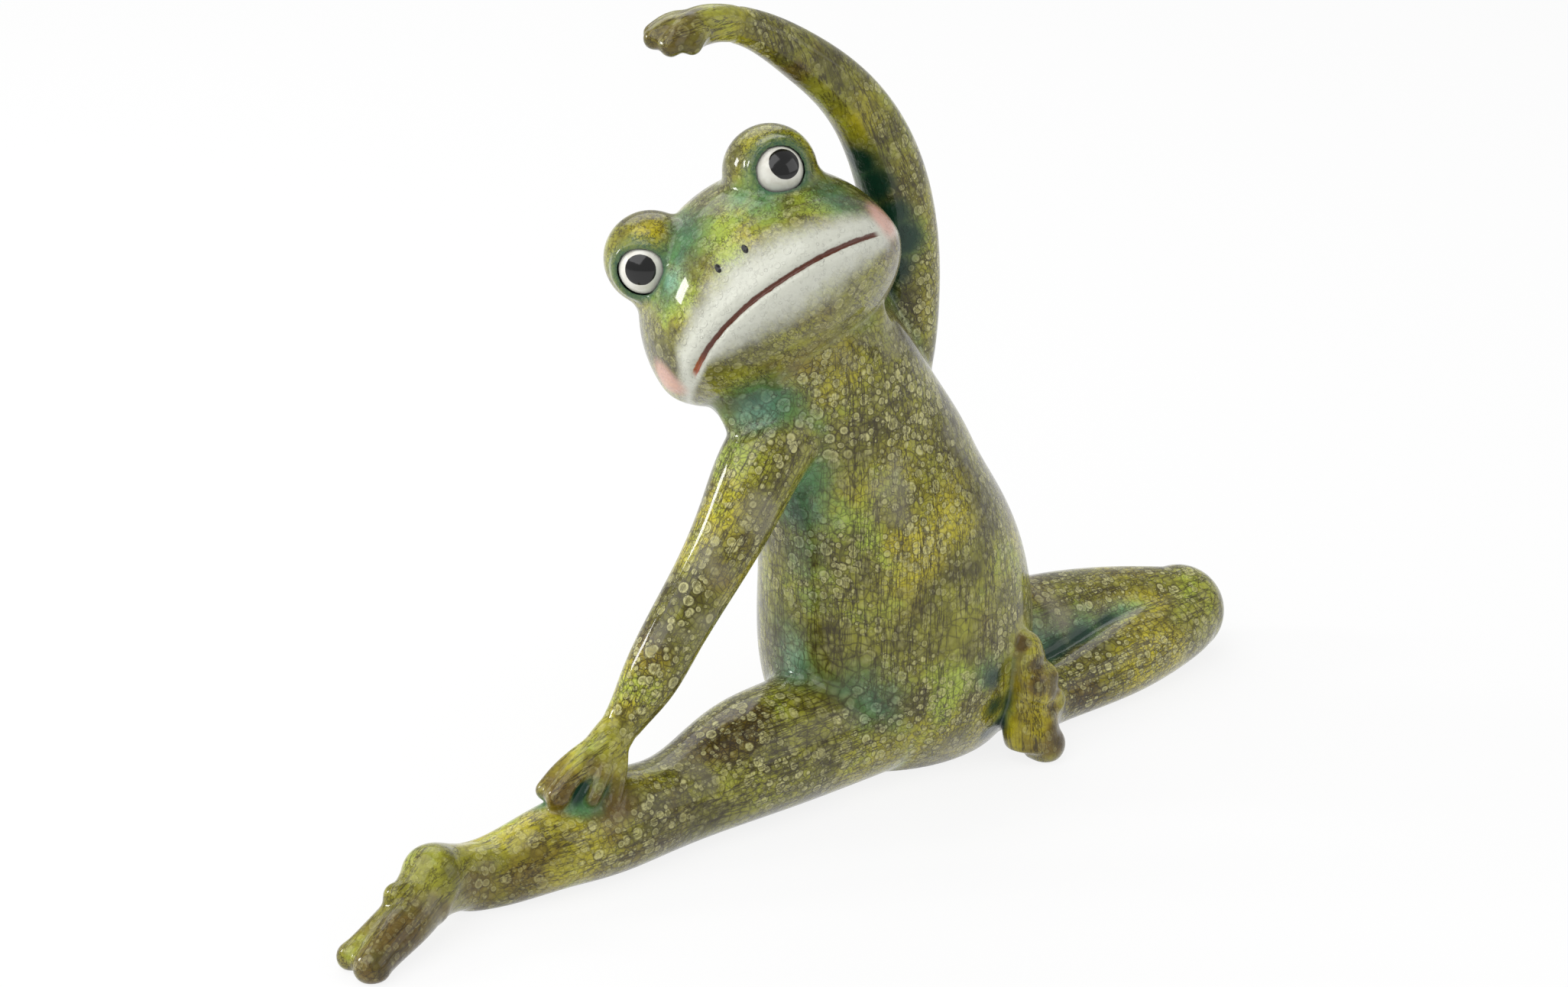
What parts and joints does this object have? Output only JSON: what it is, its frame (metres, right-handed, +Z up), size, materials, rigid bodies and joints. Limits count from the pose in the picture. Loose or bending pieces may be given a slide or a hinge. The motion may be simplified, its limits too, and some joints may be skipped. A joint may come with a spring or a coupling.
{
  "type": "frog figurine",
  "caption": "Glazed ceramic frog ornament seated in a side stretch, one leg out, one folded, one arm arched over the tilted head; stands free on a shelf.",
  "frame": {"origin": "middle of the bounding box, on the surface the figurine stands on", "axes": "+Z up; -Y is the way the torso faces; the outstretched leg points along -X and the folded knee along +X"},
  "size_m": [0.3984, 0.096, 0.2827],
  "materials": {
    "skin_glaze": "high gloss mottled olive glaze with pale bubble rings",
    "eye_glaze": "gloss white with a painted black pupil"
  },
  "bodies": {
    "root": {"torso": "skin_glaze", "head": "skin_glaze", "right_eyeball": "eye_glaze", "left_eyeball": "eye_glaze", "right_arm": "skin_glaze", "right_hand": "skin_glaze", "left_arm": "skin_glaze", "left_hand": "skin_glaze", "right_leg": "skin_glaze", "right_foot": "skin_glaze", "left_leg": "skin_glaze", "left_foot": "skin_glaze"}
  },
  "joints": []
}
